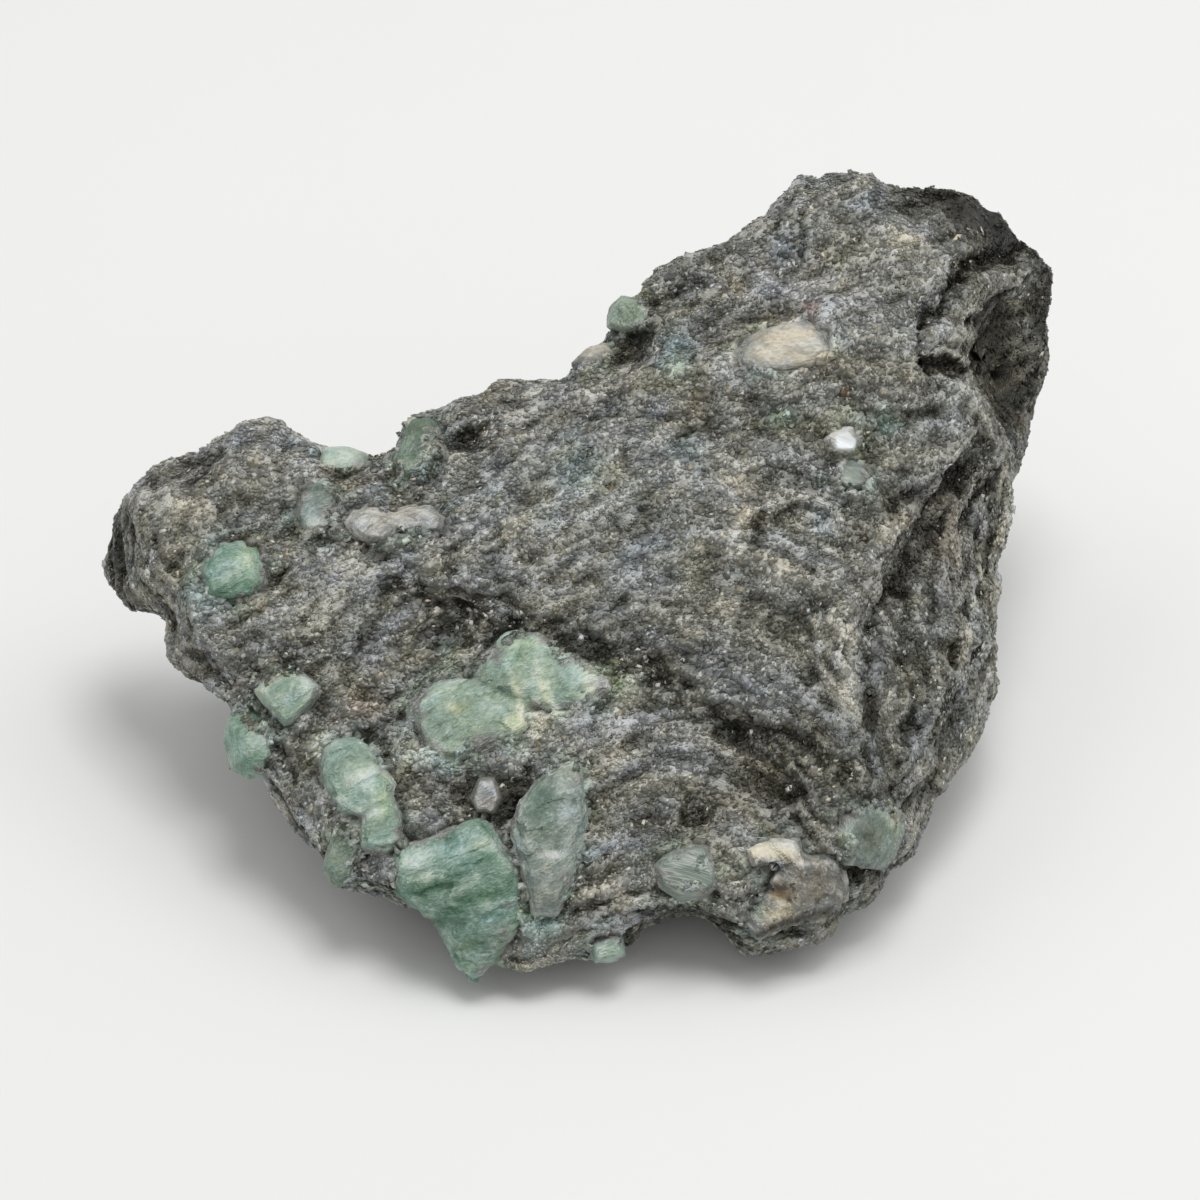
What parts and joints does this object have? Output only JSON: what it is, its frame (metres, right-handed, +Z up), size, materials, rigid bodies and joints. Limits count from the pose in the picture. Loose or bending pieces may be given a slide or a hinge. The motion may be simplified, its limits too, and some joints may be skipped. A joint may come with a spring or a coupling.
{
  "type": "rough emerald in mica schist",
  "caption": "Loose chunk of dark mica schist with a broad slanting split face, set with grey-green emerald crystals, quartz and feldspar grains; rests on a small flat base.",
  "frame": {"origin": "on the table, under the middle of the bounding box", "axes": "+Z up, +X along the chunk's longest side; the split face with the crystals leans up and back from -Y"},
  "size_m": [0.0828, 0.0662, 0.0373],
  "materials": {
    "emerald_arm": "grey-green beryl, waxy to glassy, cracked and slightly translucent",
    "emerald_bars": "grey-green beryl, waxy to glassy, cracked and slightly translucent",
    "emerald_behind": "grey-green beryl, waxy to glassy, cracked and slightly translucent",
    "emerald_bright": "grey-green beryl, waxy to glassy, cracked and slightly translucent",
    "emerald_corner": "grey-green beryl, waxy to glassy, cracked and slightly translucent",
    "emerald_edge": "grey-green beryl, waxy to glassy, cracked and slightly translucent",
    "emerald_foot": "grey-green beryl, waxy to glassy, cracked and slightly translucent",
    "emerald_large": "grey-green beryl, waxy to glassy, cracked and slightly translucent",
    "emerald_middle": "grey-green beryl, waxy to glassy, cracked and slightly translucent",
    "emerald_notch": "grey-green beryl, waxy to glassy, cracked and slightly translucent",
    "emerald_pale": "grey-green beryl, waxy to glassy, cracked and slightly translucent",
    "emerald_rear_arm": "grey-green beryl, waxy to glassy, cracked and slightly translucent",
    "emerald_rear_high": "grey-green beryl, waxy to glassy, cracked and slightly translucent",
    "emerald_rear_low": "grey-green beryl, waxy to glassy, cracked and slightly translucent",
    "emerald_right": "grey-green beryl, waxy to glassy, cracked and slightly translucent",
    "emerald_round": "grey-green beryl, waxy to glassy, cracked and slightly translucent",
    "emerald_side": "grey-green beryl, waxy to glassy, cracked and slightly translucent",
    "emerald_small": "grey-green beryl, waxy to glassy, cracked and slightly translucent",
    "emerald_streaky": "grey-green beryl, waxy to glassy, cracked and slightly translucent",
    "emerald_top": "grey-green beryl, waxy to glassy, cracked and slightly translucent",
    "emerald_under": "grey-green beryl, waxy to glassy, cracked and slightly translucent",
    "feldspar_edge": "beige feldspar, dull",
    "feldspar_patch": "beige feldspar, dull",
    "quartz_block": "greyish white quartz, glassy",
    "quartz_grain": "greyish white quartz, glassy",
    "quartz_pebble": "greyish white quartz, glassy",
    "quartz_rear": "greyish white quartz, glassy",
    "quartz_wedge": "greyish white quartz, glassy",
    "schist": "dark, glittering mica schist, foliated and rough"
  },
  "bodies": {
    "root": {"emerald_arm": "emerald_arm", "emerald_bars": "emerald_bars", "emerald_behind": "emerald_behind", "emerald_bright": "emerald_bright", "emerald_corner": "emerald_corner", "emerald_edge": "emerald_edge", "emerald_foot": "emerald_foot", "emerald_large": "emerald_large", "emerald_middle": "emerald_middle", "emerald_notch": "emerald_notch", "emerald_pale": "emerald_pale", "emerald_rear_arm": "emerald_rear_arm", "emerald_rear_high": "emerald_rear_high", "emerald_rear_low": "emerald_rear_low", "emerald_right": "emerald_right", "emerald_round": "emerald_round", "emerald_side": "emerald_side", "emerald_small": "emerald_small", "emerald_streaky": "emerald_streaky", "emerald_top": "emerald_top", "emerald_under": "emerald_under", "feldspar_edge": "feldspar_edge", "feldspar_patch": "feldspar_patch", "quartz_block": "quartz_block", "quartz_grain": "quartz_grain", "quartz_pebble": "quartz_pebble", "quartz_rear": "quartz_rear", "quartz_wedge": "quartz_wedge", "schist": "schist"}
  },
  "joints": []
}
